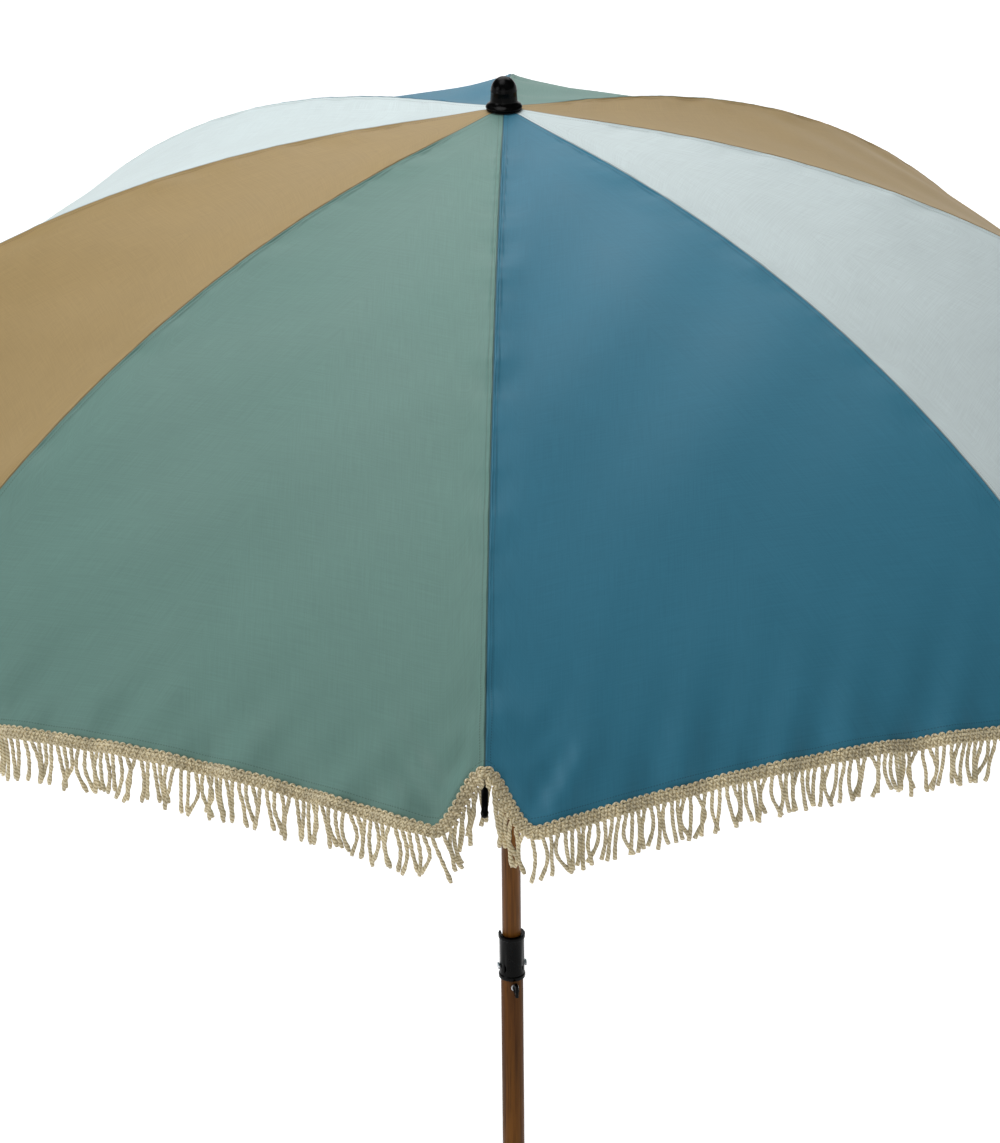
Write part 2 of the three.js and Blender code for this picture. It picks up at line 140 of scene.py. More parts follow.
world = bpy.data.worlds.new("studio")
bpy.context.scene.world = world
world.use_nodes = True
sky = world.node_tree
facing = sky.nodes.new("ShaderNodeTexCoord")
height_up = sky.nodes.new("ShaderNodeSeparateXYZ")
fade_up = sky.nodes.new("ShaderNodeMapRange")
fade_up.interpolation_type = "SMOOTHSTEP"
sky.links.new(facing.outputs["Generated"], height_up.inputs[0])
sky.links.new(height_up.outputs["Z"], fade_up.inputs["Value"])
for socket, value in (("From Min", 0.03), ("From Max", 0.16), ("To Min", 1.0), ("To Max", 0.05)):
    fade_up.inputs[socket].default_value = value
sky.links.new(fade_up.outputs[0], sky.nodes["Background"].inputs["Color"])
bpy.context.scene.view_settings.view_transform = "Standard"

# %% [markdown]
# ## How the materials are written
# Every finish starts from what the real one is and how its surface was made. Colours are written as the
# hex values that a paint or fabric card would give, and one function turns them to the linear values that
# shaders need. One small function adds a node with its settings and links, so a material reads from top
# to bottom like a recipe.

# %% Colour and node helpers


def linear(hex_colour):
    """sRGB hex, such as "#3f7c98", to linear RGBA."""
    values = [int(hex_colour[i:i + 2], 16) / 255 for i in (1, 3, 5)]
    return tuple(v / 12.92 if v <= 0.04045 else ((v + 0.055) / 1.055) ** 2.4 for v in values) + (1,)


def add(material, kind, inputs=None, **settings):
    """A node of one kind in a material; an input is given a value or another node's socket."""
    made = material.node_tree.nodes.new(kind)
    for name, value in settings.items():
        setattr(made, name, value)
    for name, value in (inputs or {}).items():
        if isinstance(value, bpy.types.NodeSocket):
            material.node_tree.links.new(value, made.inputs[name])
        else:
            made.inputs[name].default_value = value
    return made


def new_material(name, roughness, metallic=0.0, ior=1.5, **sockets):
    """A material with its Principled shader, whose uniform values sit on its own sockets."""
    material = bpy.data.materials.new(name)
    material.use_nodes = True
    shader = material.node_tree.nodes["Principled BSDF"]
    shader.inputs["Roughness"].default_value = roughness
    shader.inputs["Metallic"].default_value = metallic
    shader.inputs["IOR"].default_value = ior
    for socket, value in sockets.items():
        shader.inputs[socket.replace("_", " ")].default_value = value
    return material, shader


def link(material, source, target):
    material.node_tree.links.new(source, target)


def blend_colours(material, factor, first, second):
    """A colour mix node's result; each colour is a hex value or a socket."""
    mixed = add(material, "ShaderNodeMix", data_type="RGBA")
    for socket, value in ((0, factor), (6, first), (7, second)):
        if isinstance(value, bpy.types.NodeSocket):
            link(material, value, mixed.inputs[socket])
        else:
            mixed.inputs[socket].default_value = linear(value) if isinstance(value, str) else value
    return mixed.outputs[2]


def math_of(material, operation, *values):
    """A maths node's result."""
    return add(material, "ShaderNodeMath", dict(enumerate(values)), operation=operation).outputs[0]


def remapped(material, value, low, high, to_low, to_high):
    """A value's range from low to high, stretched to another range."""
    inputs = {"Value": value, "From Min": low, "From Max": high, "To Min": to_low, "To Max": to_high}
    return add(material, "ShaderNodeMapRange", inputs).outputs[0]


def noise(material, vector, scale, detail):
    """Noise over a vector."""
    inputs = {"Vector": vector, "Scale": scale, "Detail": detail}
    return add(material, "ShaderNodeTexNoise", inputs).outputs[0]


def bumped(material, shader, height, strength, depth_mm):
    """Gives a shader fine relief from a height."""
    inputs = {"Strength": strength, "Distance": depth_mm * MM, "Height": height}
    link(material, add(material, "ShaderNodeBump", inputs).outputs[0], shader.inputs["Normal"])


# %% [markdown]
# ## Canopy cloth
# The cloth is a plain-woven cotton and polyester, piece-dyed and calendered to a slight sheen. Real
# threads lie 0.45 mm apart, too fine to show at the distance of a whole umbrella, so the weave here is
# drawn at 1.5 mm and kept faint, with longer slubs, which do show, in both thread directions. The cloth's
# own map gives metres: U across from the rib's seam, V up from the hem. A thin line of painted shade in
# the seam's groove, the seam's two rows of stitches and the hem's row are placed by those distances.

# %% Cloth material
THREAD_MM = 1.5
STITCH_MM = 3.2
SEAM_ROW_MM = 6.5
HEM_ROW_MM = 15.0
SLUB_WIDTH = 1.6 * MM
SLUB_LENGTH = 50 * MM
# Width of the line of painted shade down the seam's groove.
SEAM_SHADE_WIDTH = 1.6 * MM
CLOTH_COLOURS = {
    "cloth_blue": "#397e98",
    "cloth_white": "#d9e7e8",
    "cloth_tan": "#aa9162",
    "cloth_sage": "#6f948b",
}


def near(material, distance, target, width):
    """1 within width of the target distance and 0 outside, softly."""
    off = math_of(material, "ABSOLUTE", math_of(material, "SUBTRACT", distance, target))
    return add(
        material,
        "ShaderNodeMapRange",
        {"Value": off, "From Min": width * 0.4, "From Max": width, "To Min": 1.0, "To Max": 0.0},
        interpolation_type="SMOOTHSTEP",
    ).outputs[0]


def stitches(material, along, across, row):
    """A row of short stitches: dashes along the row, in a band one thread wide."""
    phase = math_of(material, "FRACT", math_of(material, "DIVIDE", along, STITCH_MM * MM))
    dash = near(material, phase, 0.5, 0.42)
    return math_of(material, "MULTIPLY", dash, near(material, across, row * MM, 0.9 * MM))


def canopy_cloth(name, colour):
    material, shader = new_material(
        name, 0.55, ior=1.46, Specular_IOR_Level=0.3, Sheen_Weight=0.06, Sheen_Roughness=0.45,
    )
    shader.inputs["Sheen Tint"].default_value = (1, 1, 1, 1)
    uv = add(material, "ShaderNodeUVMap", uv_map="cloth").outputs[0]
    parts = add(material, "ShaderNodeSeparateXYZ", {0: uv})
    across, up = parts.outputs[0], parts.outputs[1]

    slub = []
    for scale in ((1 / SLUB_WIDTH, 1 / SLUB_LENGTH, 1), (1 / SLUB_LENGTH, 1 / SLUB_WIDTH, 1)):
        stretched = add(material, "ShaderNodeMapping", {"Vector": uv, "Scale": scale})
        slub.append(noise(material, stretched.outputs[0], 1.0, 2.0))
    slubs = math_of(material, "ADD", slub[0], slub[1])
    mottle = noise(material, uv, 4.0, 3.0)

    shade = remapped(material, slubs, 0.7, 1.3, 0.93, 1.06)
    soft = remapped(material, mottle, 0.3, 0.7, 0.96, 1.04)
    seam_row = stitches(material, up, math_of(material, "ABSOLUTE", across), SEAM_ROW_MM)
    hem_row = stitches(material, across, up, HEM_ROW_MM)
    rows = math_of(material, "MAXIMUM", seam_row, hem_row)
    # Painted shade: the colour is darkened by up to 45 percent in a thin line down the seam's groove.
    groove_shade = near(material, math_of(material, "ABSOLUTE", across), 0.0, SEAM_SHADE_WIDTH)
    dark = math_of(material, "SUBTRACT", 1.0, math_of(material, "MULTIPLY", groove_shade, 0.45))
    level = math_of(material, "MULTIPLY", math_of(material, "MULTIPLY", shade, soft), dark)
    dye_with_seam_shade = add(material, "ShaderNodeHueSaturation", {"Color": linear(colour), "Value": level}).outputs[0]
    link(material, blend_colours(material, math_of(material, "MULTIPLY", rows, 0.35), dye_with_seam_shade, "#26221c"),
         shader.inputs["Base Color"])

    threads = 1000 / THREAD_MM
    weave = [
        math_of(material, "SINE", math_of(material, "MULTIPLY", axis, threads * math.pi))
        for axis in (across, up)
    ]
    woven = math_of(material, "MULTIPLY", weave[0], weave[1])
    height = math_of(material, "ADD", math_of(material, "MULTIPLY", woven, 0.25), slubs)
    height = math_of(material, "SUBTRACT", height, math_of(material, "MULTIPLY", rows, 2.0))
    bumped(material, shader, height, 0.25, 0.12)
    link(material, remapped(material, mottle, 0.3, 0.7, 0.48, 0.6), shader.inputs["Roughness"])
    return material


cloth_materials = {name: canopy_cloth(name, colour) for name, colour in CLOTH_COLOURS.items()}
print("cloths:", sorted(cloth_materials))

# %% [markdown]
# ## The canopy's shape
# A canopy is cut as flat gores and sewn along the ribs. Pulled tight, each gore runs straight from rib to
# rib and is drawn in a little between them, like a sail, because it is curved the other way down its
# length. So the surface is worked out from the rib's bend: a point is found by its distance along the
# ribs, s, and its share of the way across, w, from -1 on one rib to 1 on the next. Sewing and tension
# then add what flat cutting can't: a ridge where two gores are felled together, small puckers beside it,
# and soft folds that fan out of each corner of the hem.

# %% The rib's bend, and the cloth over it
CLOTH_LENGTH = 1.086        # along a rib, from its hinge to the hem
CROWN_SLOPE = 6.6           # degrees below level where a rib leaves the crown
SLOPE_GAIN = 38.3           # degrees more by the hem
SLOPE_POWER = 1.265
ROD_RADIUS = 2.5 * MM
RIB_END_SLOPE = math.radians(CROWN_SLOPE + SLOPE_GAIN)
HEM_BEND = math.radians(9) / 0.074      # how fast the cloth steepens past the ribs' ends, per metre
HEM_CORNER = 76 * MM
HEM_MIDDLE = 57 * MM
NOTCH_WIDTH = 59 * MM
INNER_EDGE = -8 * MM        # inwards of the rib hinges, under the washer
CLOTH_CLEAR = 3.8 * MM      # from a rib's rod to the cloth
HUB_RISE = 3.8 * MM         # more above the hub, which the cloth lies on
HUB_EDGE = 6 * MM           # along a rib, where the cloth leaves the hub
HUB_FADE = 120 * MM         # and how far on it is down over the rod
HALF_ANGLE = math.pi / RIBS
SAMPLES = 800

sample_s = np.linspace(0, CLOTH_LENGTH, SAMPLES)
sample_slope = np.radians(CROWN_SLOPE + SLOPE_GAIN * (sample_s / CLOTH_LENGTH) ** SLOPE_POWER)
step = sample_s[1]
middle_slope = (sample_slope[1:] + sample_slope[:-1]) / 2
sample_x = np.concatenate([[0], np.cumsum(np.cos(middle_slope))]) * step
sample_z = -np.concatenate([[0], np.cumsum(np.sin(middle_slope))]) * step


def cloth_over_rib(s):
    """Radius and height of the cloth over a rib; past the rib's end it bends steadily downwards."""
    on_rib = np.clip(s, 0, CLOTH_LENGTH)
    past = np.maximum(s - CLOTH_LENGTH, 0)
    slope = np.interp(on_rib, sample_s, sample_slope)
    over_hub = np.clip(1 - (on_rib - HUB_EDGE) / HUB_FADE, 0, 1) ** 2
    rise = (ROD_RADIUS + CLOTH_CLEAR) / np.cos(slope) + HUB_RISE * over_hub
    radius = HINGE_RADIUS + np.interp(on_rib, sample_s, sample_x) + np.minimum(s, 0)
    height = CROWN + np.interp(on_rib, sample_s, sample_z) + rise
    mean_slope = RIB_END_SLOPE + HEM_BEND * past / 2
    return radius + past * np.cos(mean_slope), height - past * np.sin(mean_slope)


def smooth(x):
    """0 below 0, 1 above 1, and an S between."""
    x = np.clip(x, 0, 1)
    return x * x * (3 - 2 * x)


HEM_HALF_WIDTH = float(cloth_over_rib(np.array(CLOTH_LENGTH))[0]) * math.sin(HALF_ANGLE)


def hem_end(w):
    """How far along the ribs the cloth reaches: it arches up at the rib and dips beside it."""
    beside = HEM_HALF_WIDTH * (1 - np.abs(w))
    inward = np.clip((beside - NOTCH_WIDTH) / (HEM_HALF_WIDTH - NOTCH_WIDTH), 0, 1)
    dip = HEM_CORNER + (HEM_MIDDLE - HEM_CORNER) * np.sin(inward * math.pi / 2)
    return CLOTH_LENGTH + smooth(beside / NOTCH_WIDTH) * dip


def waves(x, lengths, random):
    """A smooth uneven line: a sum of sines of these wavelengths with random phases."""
    total = np.zeros_like(x)
    for length in lengths:
        total += np.sin(2 * math.pi * x / length + random.uniform(0, 2 * math.pi))
    return total / math.sqrt(len(lengths))


CLOTH_SEED = 100
SEAM_SEED = 300
FRINGE_SEED = 500


def relief(s, w, gore):
    """How far the cloth stands off its even shape, in metres, for one gore."""
    random = np.random.default_rng(CLOTH_SEED + gore)
    half = cloth_over_rib(s)[0] * math.sin(HALF_ANGLE)
    y = half * w
    beside = half * (1 - np.abs(w))
    to_hem = hem_end(w) - s

    broad = 1.8 * MM * waves(y + 0.35 * s, (0.31, 0.23), random) * waves(s, (0.52, 0.37), random)
    fan = waves(y + 0.45 * to_hem, (0.155, 0.098), random) + waves(y - 0.5 * to_hem, (0.12, 0.067), random)
    folds = 4.5 * MM * fan * np.exp(-np.maximum(to_hem, 0) / 0.065) * smooth(beside / 0.03)
    corner = 4.2 * MM * waves(beside - 0.8 * to_hem, (0.09, 0.06), random)
    corner = corner * np.exp(-((beside - 0.05) / 0.05) ** 2) * np.exp(-((to_hem - 0.05) / 0.07) ** 2)

    seam = np.zeros_like(s)
    for edge in (0, 1):
        sewing = np.random.default_rng(SEAM_SEED + (gore + edge) % RIBS)     # one seed for both sides
        pucker = 0.45 * MM * waves(s, (0.021, 0.034, 0.055), sewing) * np.exp(-beside / 0.012)
        slack = 0.9 * MM * waves(s, (0.13, 0.082), sewing) * np.exp(-((beside - 0.014) / 0.018) ** 2)
        seam = np.where((w > 0) == bool(edge), pucker + slack, seam)
    seam = seam * smooth(beside / 0.004) * smooth((half - beside) / 0.03) * smooth(s / 0.15)
    ridge = 0.9 * MM * np.exp(-((beside - 2.0 * MM) / (1.2 * MM)) ** 2)
    ridge = ridge * smooth(beside / (1.2 * MM))
    allowance = 0.45 * MM * (1 - smooth((beside - 7 * MM) / (1.5 * MM))) * smooth(beside / (1.2 * MM))
    turned_hem = 0.5 * MM * (1 - smooth((to_hem - 17 * MM) / (1.5 * MM))) * smooth(beside / (6 * MM))
    fade = smooth((s - 0.03) / 0.08)
    return fade * (broad * smooth(beside / 0.05) + folds + corner + seam + ridge + allowance) + turned_hem


CLOTH_DIP = 12 * MM


def even_cloth(s, w):
    """A gore's even surface, with +X down its middle."""
    radius, height = cloth_over_rib(s)
    drawn_in = CLOTH_DIP * np.sin(math.pi * np.clip(s / CLOTH_LENGTH, 0, 1)) * (1 - w * w)
    x = radius * math.cos(HALF_ANGLE) - 0.4 * drawn_in
    return np.stack([x, radius * math.sin(HALF_ANGLE) * w, height - drawn_in], -1)


def normals_of(surface, s, w):
    """Unit normals of a surface(s, w) by small steps, pointing up and out."""
    ds, dw = 0.5 * MM, 0.001
    along = surface(s + ds, w) - surface(s - ds, w)
    over = surface(s, np.minimum(w + dw, 1)) - surface(s, np.maximum(w - dw, -1))
    normal = np.cross(along, over)
    return normal / np.linalg.norm(normal, axis=-1, keepdims=True)


def worn_cloth(s, w, gore):
    """A gore's real surface: the even one with its relief."""
    return even_cloth(s, w) + normals_of(even_cloth, s, w) * relief(s, w, gore)[..., None]


print(f"hem is {2 * HEM_HALF_WIDTH:.3f} m from rib to rib")

# %% [markdown]
# ## Making the gores
# Each gore folds with two ribs, so it is made as two halves that meet down its middle, and each half
# rides on its own rib. The grid is finest beside the seam, where the ridge and puckers are a few
# millimetres wide. The cloth is a closed sheet half a millimetre thick, and the faces' normals are taken
# from the surface's own formula, so that no line shows where two halves meet.

# %% Build a half gore
CLOTH_THICKNESS = 0.5 * MM
SEAM_COLUMNS = (0, 0.7, 1.5, 2.4, 3.6, 5.0, 7.0, 8.6, 11, 14, 18, 23, 29, 36, 44, 53)
INNER_COLUMNS = 20
ROWS = 210


def to_gore(points, gore):
    """Turns points from a gore's own frame, +X down its middle, to the umbrella's."""
    angle = HALF_ANGLE * (2 * gore + 1) - math.pi / 2
    cos, sin = math.cos(angle), math.sin(angle)
    turn = np.array([[cos, -sin, 0], [sin, cos, 0], [0, 0, 1]])
    return points @ turn.T


def object_from(name, vertices, faces, normals=None, uvs=None):
    """A mesh object at the origin from arrays of points and faces."""
    mesh = bpy.data.meshes.new(name)
    mesh.from_pydata(vertices.tolist(), [], faces.tolist() if hasattr(faces, "tolist") else faces)
    if uvs is not None:
        layer = mesh.uv_layers.new(name="cloth")
        loops = np.zeros(len(mesh.loops), np.int32)
        mesh.loops.foreach_get("vertex_index", loops)
        layer.data.foreach_set("uv", uvs[loops].astype(np.float32).ravel())
    mesh.polygons.foreach_set("use_smooth", np.ones(len(mesh.polygons), bool))
    if normals is not None:
        mesh.normals_split_custom_set_from_vertices(normals.tolist())
    mesh.update()
    made = bpy.data.objects.new(name, mesh)
    bpy.context.scene.collection.objects.link(made)
    return made


def grid_faces(rows, columns, start=0, flip=False):
    """Quads of a grid of points, row by row."""
    i, j = np.meshgrid(np.arange(rows - 1), np.arange(columns - 1), indexing="ij")
    a = start + i * columns + j
    quads = np.stack([a, a + columns, a + columns + 1, a + 1], -1).reshape(-1, 4)
    return quads[:, ::-1] if flip else quads


def rim_faces(rows, columns, second):
    """Quads that close the edge between two grids; the second grid's points start at second."""
    a = np.arange(rows * columns).reshape(rows, columns)
    loop = np.concatenate([a[0, :], a[1:, -1], a[-1, -2::-1], a[-2:0:-1, 0]])
    after = np.roll(loop, -1)
    return np.stack([loop, after, after + second, loop + second], -1)


def column_shares(side):
    """Shares across for a half gore's columns, from the rib at w = side to the middle."""
    seam = np.array(SEAM_COLUMNS) * MM / HEM_HALF_WIDTH
    inner = np.linspace(seam[-1], 1, INNER_COLUMNS + 1)[1:]
    return side * (1 - np.concatenate([seam, inner]))


def half_gore(gore, side):
    """One half of a gore, from its rib (side -1 or 1) to its middle line."""
    w = column_shares(side)
    if side > 0:
        w = w[::-1]
    share = np.linspace(0, 1, ROWS)
    ends = hem_end(w)
    s = INNER_EDGE + (ends[None, :] - INNER_EDGE) * share[:, None]
    w = np.broadcast_to(w, s.shape)
    over = worn_cloth(s, w, gore)
    normal = normals_of(lambda a, b: worn_cloth(a, b, gore), s, w)
    under = over - normal * CLOTH_THICKNESS
    half = cloth_over_rib(s)[0] * math.sin(HALF_ANGLE)
    uv = np.stack([half * (1 - np.abs(w)), ends[None, :] - s], -1).reshape(-1, 2)
    rows, columns = s.shape
    count = rows * columns
    faces = np.concatenate([
        grid_faces(rows, columns),
        grid_faces(rows, columns, count, flip=True),
        rim_faces(rows, columns, count)[:, ::-1],
    ])
    points = to_gore(np.concatenate([over.reshape(-1, 3), under.reshape(-1, 3)]), gore)
    normals = to_gore(np.concatenate([normal.reshape(-1, 3), -normal.reshape(-1, 3)]), gore)
    return points, faces, normals, np.concatenate([uv, uv])


def direction(azimuth):
    """Outwards at an azimuth in radians from -Y towards +X."""
    return Vector((math.sin(azimuth), -math.cos(azimuth), 0))


def rib_of(gore, side):
    """The number of the rib that a half gore rides on."""
    return (gore + (1 if side > 0 else 0)) % RIBS + 1


def fold_with_rib(piece):
    """Gives a piece of cloth its own copy of its mesh."""
    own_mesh(piece)


cloth_names = list(CLOTH_COLOURS)
halves = {}
for gore in range(RIBS):
    for side in (-1, 1):
        points, faces, normals, uvs = half_gore(gore, side)
        name = f"canopy_panel_{gore + 1}_{'first' if side < 0 else 'second'}_half"
        piece = object_from(name, points, faces, normals, uvs)
        cloth = cloth_names[gore % len(cloth_names)]
        piece.data.materials.append(cloth_materials[cloth])
        halves[gore, side] = piece
        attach(piece, f"rib_{rib_of(gore, side)}")
        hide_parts(f"canopy_panel_{gore + 1}")
print("half gores:", len(halves), "faces each:", len(faces))

# %% [markdown]
# ## The cloth's sheets
# Each half gore is one sheet. Its flat size before sewing is the hem's half width by the gore's length.


# %% [markdown]
# ## Cotton cord
# The fringe is natural cotton, two plies twisted into a soft cord 4.5 mm thick. The twist catches
# light on every ply and leaves a dark line between them, which is what the eye reads at a distance; both
# are painted into the colour, as a painted highlight along each ply and a line of painted shade between
# them. The cords' map has U around and V along in metres, so the ply lines run in a spiral of a real pitch.

# %% Cotton material
PLY_PITCH_MM = 9.0


def twisted_cotton(name):
    material, shader = new_material(name, 0.92, Sheen_Weight=0.25, Sheen_Roughness=0.6)
    uv = add(material, "ShaderNodeUVMap", uv_map="cloth").outputs[0]
    parts = add(material, "ShaderNodeSeparateXYZ", {0: uv})
    spiral = math_of(material, "DIVIDE", parts.outputs[1], PLY_PITCH_MM * MM)
    turns = math_of(material, "ADD", parts.outputs[0], spiral)
    ply = math_of(material, "SINE", math_of(material, "MULTIPLY", turns, 4 * math.pi))
    fibre = math_of(material, "SINE", math_of(material, "MULTIPLY", turns, 24 * math.pi))
    place = add(material, "ShaderNodeTexCoord").outputs["Object"]
    fuzz = noise(material, place, 900.0, 2.0)
    batch = noise(material, place, 60.0, 1.0)
    # Painted shade and painted highlight: the colour runs from dark #bca676 in the grooves between plies to
    # light #f4e6c0 on each ply's crown.
    groove_shade = remapped(material, ply, -1.0, 0.1, 0.0, 1.0)
    ply_light_and_shade = blend_colours(material, groove_shade, "#bca676", "#f4e6c0")
    aged = remapped(material, batch, 0.35, 0.65, 0.82, 1.06)
    coloured = add(material, "ShaderNodeHueSaturation", {"Color": ply_light_and_shade, "Value": aged}).outputs[0]
    link(material, coloured, shader.inputs["Base Color"])
    height = math_of(material, "ADD", ply, math_of(material, "MULTIPLY", fibre, 0.15))
    height = math_of(material, "ADD", height, math_of(material, "MULTIPLY", fuzz, 0.6))
    bumped(material, shader, height, 0.8, 0.5)
    return material


cotton = twisted_cotton("twisted_cotton_cord")

# %% [markdown]
# ## Fringe
# The fringe is a woven trim: cords hang from a braid of chain-stitched rows, and each cord's upper end
# makes a scallop along the braid's top edge. It is sewn over the hem, arches up with it at every rib, and
# its cords hang straight down wherever gravity takes them. Handling has tangled them, so neighbours lean
# together in twos and threes. There are hundreds of cords, so each has under a hundred faces, and its
# twist comes from a slightly oval section that turns as it goes down.

# %% Tubes from many paths at once


def tubes(paths, radii, sides, reference, oval=0.0, twist=0.0, along=0.0):
    """Closed tubes round many paths of points: vertices, faces and the map's values at each face corner."""
    count, steps, _ = paths.shape
    tangent = np.gradient(paths, axis=1)
    tangent /= np.linalg.norm(tangent, axis=-1, keepdims=True)
    first = np.cross(tangent, reference)
    first /= np.linalg.norm(first, axis=-1, keepdims=True)
    second = np.cross(tangent, first)
    angle = 2 * math.pi * np.arange(sides) / sides
    turn = twist * np.arange(steps)
    shape = 1 + oval * np.cos(2 * (angle[None, :] - turn[:, None]))
    radius = radii[:, :, None] * shape[None]
    ring = (paths[:, :, None] + radius[..., None] * (
        np.cos(angle)[None, None, :, None] * first[:, :, None]
        + np.sin(angle)[None, None, :, None] * second[:, :, None]))
    vertices = np.concatenate([ring.reshape(count, -1, 3), paths[:, :1], paths[:, -1:]], 1)
    per = steps * sides + 2
    i, j = np.meshgrid(np.arange(steps - 1), np.arange(sides), indexing="ij")
    a, b = i * sides + j, i * sides + (j + 1) % sides
    quads = np.stack([a, b, b + sides, a + sides], -1).reshape(-1, 4)
    j = np.arange(sides)
    start = np.stack([(j + 1) % sides, j, np.full(sides, steps * sides)], -1)
    last = (steps - 1) * sides
    end = np.stack([last + j, last + (j + 1) % sides, np.full(sides, steps * sides + 1)], -1)
    length = np.concatenate(
        [np.zeros((count, 1)), np.cumsum(np.linalg.norm(np.diff(paths, axis=1), axis=-1), 1)], 1)
    length = length + along * np.arange(count)[:, None]
    around = np.stack([j, j + 1, j + 1, j], -1) / sides
    corner = np.array([0, 0, 1, 1])
    faces, maps = [], []
    for tube in range(count):
        faces.extend((quads + tube * per).tolist())
        faces.extend((start + tube * per).tolist())
        faces.extend((end + tube * per).tolist())
        v = length[tube][np.arange(steps - 1)[:, None, None] + corner[None, None, :]]
        v = np.broadcast_to(v, (steps - 1, sides, 4))
        u = np.broadcast_to(around[None], v.shape)
        maps.append(np.stack([u, v], -1).reshape(-1, 2))
        maps.append(np.zeros((sides * 6, 2)))       # two end caps of triangles, three corners each
    return vertices.reshape(-1, 3), faces, np.concatenate(maps)


def joined_tubes(name, parts):
    """One mesh object from several lots of tubes."""
    vertices, faces, maps, offset = [], [], [], 0
    for points, quads, corners in parts:
        vertices.append(points)
        faces.extend([[corner + offset for corner in face] for face in quads])
        maps.append(corners)
        offset += len(points)
    made = object_from(name, np.concatenate(vertices), faces)
    layer = made.data.uv_layers.new(name="cloth")
    layer.data.foreach_set("uv", np.concatenate(maps).astype(np.float32).ravel())
    return made


# %% [markdown]
# The hem is followed by its length, and each point of it carries a small frame: along the hem, out of the
# cloth, and down past its edge. The braid's rows, the scallops and the cords' tops are all placed in that
# frame, so they follow the arches at the ribs.

# %% The hem's line
CORD_PITCH = 8.4 * MM
CORD_RADIUS = 2.25 * MM
CORD_LENGTH = 50 * MM
CORD_STEPS = 13
BRAID_ROWS = ((-2.2, 1.9), (1.5, 1.5), (5.2, 1.0))      # mm past the hem, mm out from the cloth
BRAID_RADIUS = 2.2 * MM
SCALLOP_RADIUS = 3.1 * MM
SCALLOP_CORD_RADIUS = 1.8 * MM


class HemLine:
    """The hem of a half gore, from its rib to the gore's middle, in the gore's own frame."""

    def __init__(self, gore, side):
        w = side * (1 - np.linspace(0, 1, 900) ** 1.3)
        s = hem_end(w)
        self.points = worn_cloth(s, w, gore)
        normals = normals_of(lambda a, b: worn_cloth(a, b, gore), s, w)
        steps = np.linalg.norm(np.diff(self.points, axis=0), axis=1)
        self.at = np.concatenate([[0], np.cumsum(steps)])
        self.length = self.at[-1]
        tangent = np.gradient(self.points, self.at, axis=0)
        down = np.cross(normals, tangent) * side
        self.frames = [tangent, normals, down / np.linalg.norm(down, axis=1, keepdims=True)]

    def sample(self, distance, values):
        return np.stack([np.interp(distance, self.at, values[:, axis]) for axis in range(3)], -1)

    def point(self, distance, down=0.0, out=0.0):
        """A point at a distance along the hem, moved down past it and out from the cloth."""
        place = self.sample(distance, self.points)
        below = self.sample(distance, self.frames[2])
        above = self.sample(distance, self.frames[1])
        return place + below * np.asarray(down)[..., None] + above * np.asarray(out)[..., None]


def braid_rows(hem):
    """Chain-stitched rows: cords whose thickness swells and narrows with each stitch."""
    distance = np.arange(0, hem.length + 0.9 * MM, 1.4 * MM)
    distance = distance * hem.length / distance[-1]
    made = []
    for row, (down, out) in enumerate(BRAID_ROWS):
        wave = np.cos(2 * math.pi * distance / (CORD_PITCH / 2) + row * math.pi)
        path = hem.point(distance, down * MM + 0.35 * MM * wave, out * MM + 0.25 * MM * wave)[None]
        radii = (BRAID_RADIUS * (1 + 0.16 * wave))[None]
        reference = hem.sample(distance, hem.frames[1])[None]
        made.append(tubes(path, radii, 6, reference))
    return made


def scallops(hem, places):
    """The row of small arches along the braid's top edge."""
    angle = np.linspace(0, math.pi, 8)
    distance = places[:, None] + SCALLOP_RADIUS * np.cos(angle)[None, :]
    distance = np.clip(distance, 0, hem.length)
    down = -3.0 * MM - 1.25 * SCALLOP_RADIUS * np.sin(angle)
    out = 1.5 * MM + 0.5 * MM * np.sin(angle)
    path = hem.point(distance, np.broadcast_to(down, distance.shape), np.broadcast_to(out, distance.shape))
    reference = hem.sample(distance, hem.frames[1])
    radii = np.full(distance.shape, SCALLOP_CORD_RADIUS)
    return tubes(path, radii, 5, reference, along=3.1 * MM)


def clumps(count, random):
    """Which clump each cord leans into, and how strongly."""
    group, member = [], 0
    while len(group) < count:
        size = int(random.choice([1, 2, 2, 3, 3, 4]))
        group.extend([member] * size)
        member += 1
    group = np.array(group[:count])
    centres = np.array([np.mean(np.nonzero(group == number)[0]) for number in range(group.max() + 1)])
    pull = random.uniform(0.2, 0.8, group.max() + 1)
    lean = random.normal(0, 0.5, group.max() + 1)
    return (centres[group] - np.arange(count)) * pull[group] + lean[group]


